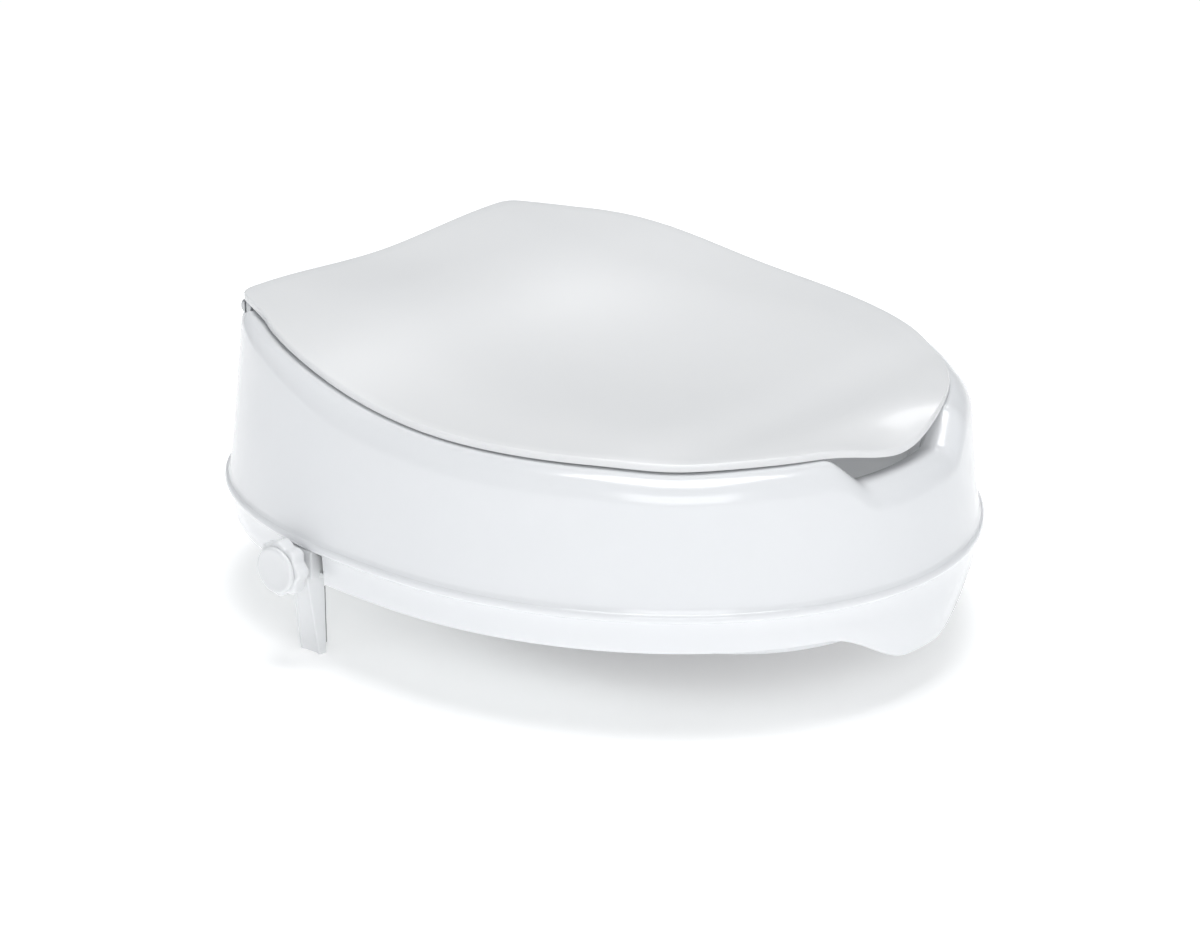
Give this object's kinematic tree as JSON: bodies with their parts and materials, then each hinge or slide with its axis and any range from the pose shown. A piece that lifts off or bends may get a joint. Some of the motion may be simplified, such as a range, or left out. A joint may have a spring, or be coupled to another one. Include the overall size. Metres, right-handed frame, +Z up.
{
  "type": "raised toilet seat",
  "caption": "Raised toilet seat with a hinged contoured lid, a hand recess in the front rim, a locating tongue below and a screw clamp on each side that grips the bowl.",
  "frame": {"origin": "middle of the bounding box at the lowest point, which is the foot of the two clamp arms", "axes": "X across the seat, -Y towards the front, +Z up"},
  "size_m": [0.397, 0.438, 0.1704],
  "materials": {
    "shell": "glossy white moulded polypropylene",
    "lid": "satin-gloss white moulded plastic",
    "clamp": "white moulded plastic",
    "base": "satin white moulded plastic",
    "rubber": "matt grey rubber",
    "steel": "plated steel"
  },
  "bodies": {
    "seat": {"seat_shell": "shell", "base_ring": "base", "base_screw_1": "steel", "base_screw_2": "steel", "base_screw_3": "steel", "base_screw_4": "steel", "base_screw_5": "steel", "base_screw_6": "steel", "rest_pad_front_left": "rubber", "rest_pad_front_right": "rubber", "rest_pad_back_left": "rubber", "rest_pad_back_right": "rubber", "hinge_pin_left": "steel", "hinge_clip_left": "steel", "thrust_washer_left": "steel", "hinge_pin_right": "steel", "hinge_clip_right": "steel", "thrust_washer_right": "steel"},
    "lid": {"lid": "lid", "lid_buffer_front_left": "rubber", "lid_buffer_front_right": "rubber", "lid_buffer_back_left": "rubber", "lid_buffer_back_right": "rubber"},
    "knob_left": {"knob_left": "clamp", "knob_cap_left": "clamp", "spindle_left": "steel", "spindle_clip_left": "steel"},
    "jaw_left": {"clamp_jaw_left": "clamp", "jaw_pad_left": "rubber", "clamp_nut_left": "steel"},
    "knob_right": {"knob_right": "clamp", "knob_cap_right": "clamp", "spindle_right": "steel", "spindle_clip_right": "steel"},
    "jaw_right": {"clamp_jaw_right": "clamp", "jaw_pad_right": "rubber", "clamp_nut_right": "steel"}
  },
  "joints": [
    {"name": "lid_hinge", "type": "hinge", "parent": "seat", "child": "lid", "pos_m": [0, 0.1735, 0.1613], "axis": [-1, 0, 0], "range_deg": [0, 100]},
    {"name": "knob_turn_left", "type": "hinge", "parent": "seat", "child": "knob_left", "pos_m": [-0.1865, 0.0717, 0.0562], "axis": [1, 0, 0], "range_deg": [-720, 1800]},
    {"name": "jaw_slide_left", "type": "slide", "parent": "seat", "child": "jaw_left", "axis": [1, 0, 0], "range_m": [-0.006, 0.015]},
    {"name": "knob_turn_right", "type": "hinge", "parent": "seat", "child": "knob_right", "pos_m": [0.1865, 0.0717, 0.0562], "axis": [-1, 0, 0], "range_deg": [-720, 1800]},
    {"name": "jaw_slide_right", "type": "slide", "parent": "seat", "child": "jaw_right", "axis": [-1, 0, 0], "range_m": [-0.006, 0.015]}
  ],
  "couplings": [
    {"joint": "jaw_slide_left", "follows": "knob_turn_left", "m_per_rad": 0.000477},
    {"joint": "jaw_slide_right", "follows": "knob_turn_right", "m_per_rad": 0.000477}
  ]
}
